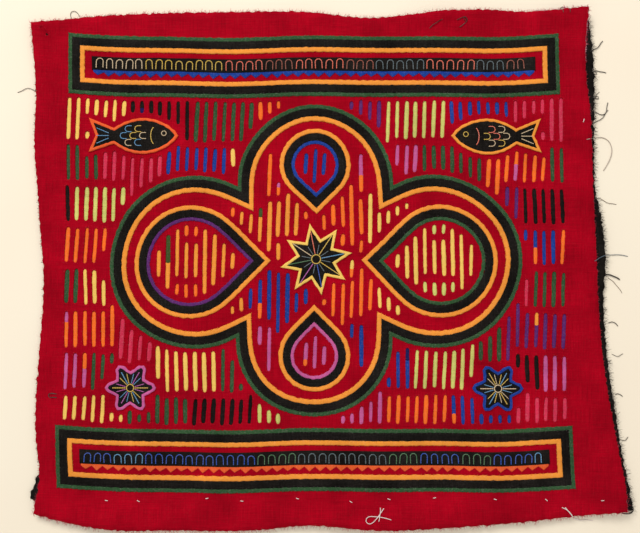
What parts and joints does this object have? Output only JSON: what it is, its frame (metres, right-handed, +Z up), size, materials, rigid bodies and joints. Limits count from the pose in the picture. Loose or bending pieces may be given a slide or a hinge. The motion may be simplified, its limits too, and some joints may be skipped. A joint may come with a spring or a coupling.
{
  "type": "mola panel",
  "caption": "flat rectangular panel of layered cut and sewn cotton cloth, with raised bands, long frames, a lobed medallion and small motifs on a plain margin",
  "frame": {"origin": "the middle of the panel's footprint, on the table it lies on", "axes": "+X along the panel's lower edge to its right, +Y towards its upper edge, +Z up out of the sewn face"},
  "size_m": [0.4314, 0.3754, 0.0082],
  "materials": {
    "red_cotton": "matte plain weave",
    "black_cotton": "matte plain weave",
    "green_cotton": "matte plain weave",
    "orange_cotton": "matte plain weave",
    "blue_cotton": "matte plain weave",
    "purple_cotton": "matte plain weave",
    "lilac_cotton": "matte plain weave"
  },
  "bodies": {
    "root": {"backing_cloth": "black_cotton", "top_cloth": "red_cotton", "lower_frame_green": "green_cotton", "lower_frame_black": "black_cotton", "lower_frame_orange": "orange_cotton", "lower_frame_bar": "black_cotton", "upper_frame_green": "green_cotton", "upper_frame_black": "black_cotton", "upper_frame_orange": "orange_cotton", "upper_frame_bar": "black_cotton", "medallion_green": "green_cotton", "medallion_black": "black_cotton", "medallion_orange": "orange_cotton", "petal_right_orange": "orange_cotton", "petal_right_black": "black_cotton", "petal_right_green": "green_cotton", "petal_upper_orange": "orange_cotton", "petal_upper_black": "black_cotton", "petal_upper_blue": "blue_cotton", "petal_left_orange": "orange_cotton", "petal_left_black": "black_cotton", "petal_left_purple": "purple_cotton", "petal_lower_orange": "orange_cotton", "petal_lower_black": "black_cotton", "petal_lower_lilac": "lilac_cotton", "star": "black_cotton", "left_fish": "black_cotton", "right_fish": "black_cotton", "left_flower": "black_cotton", "right_flower": "black_cotton"}
  },
  "joints": []
}
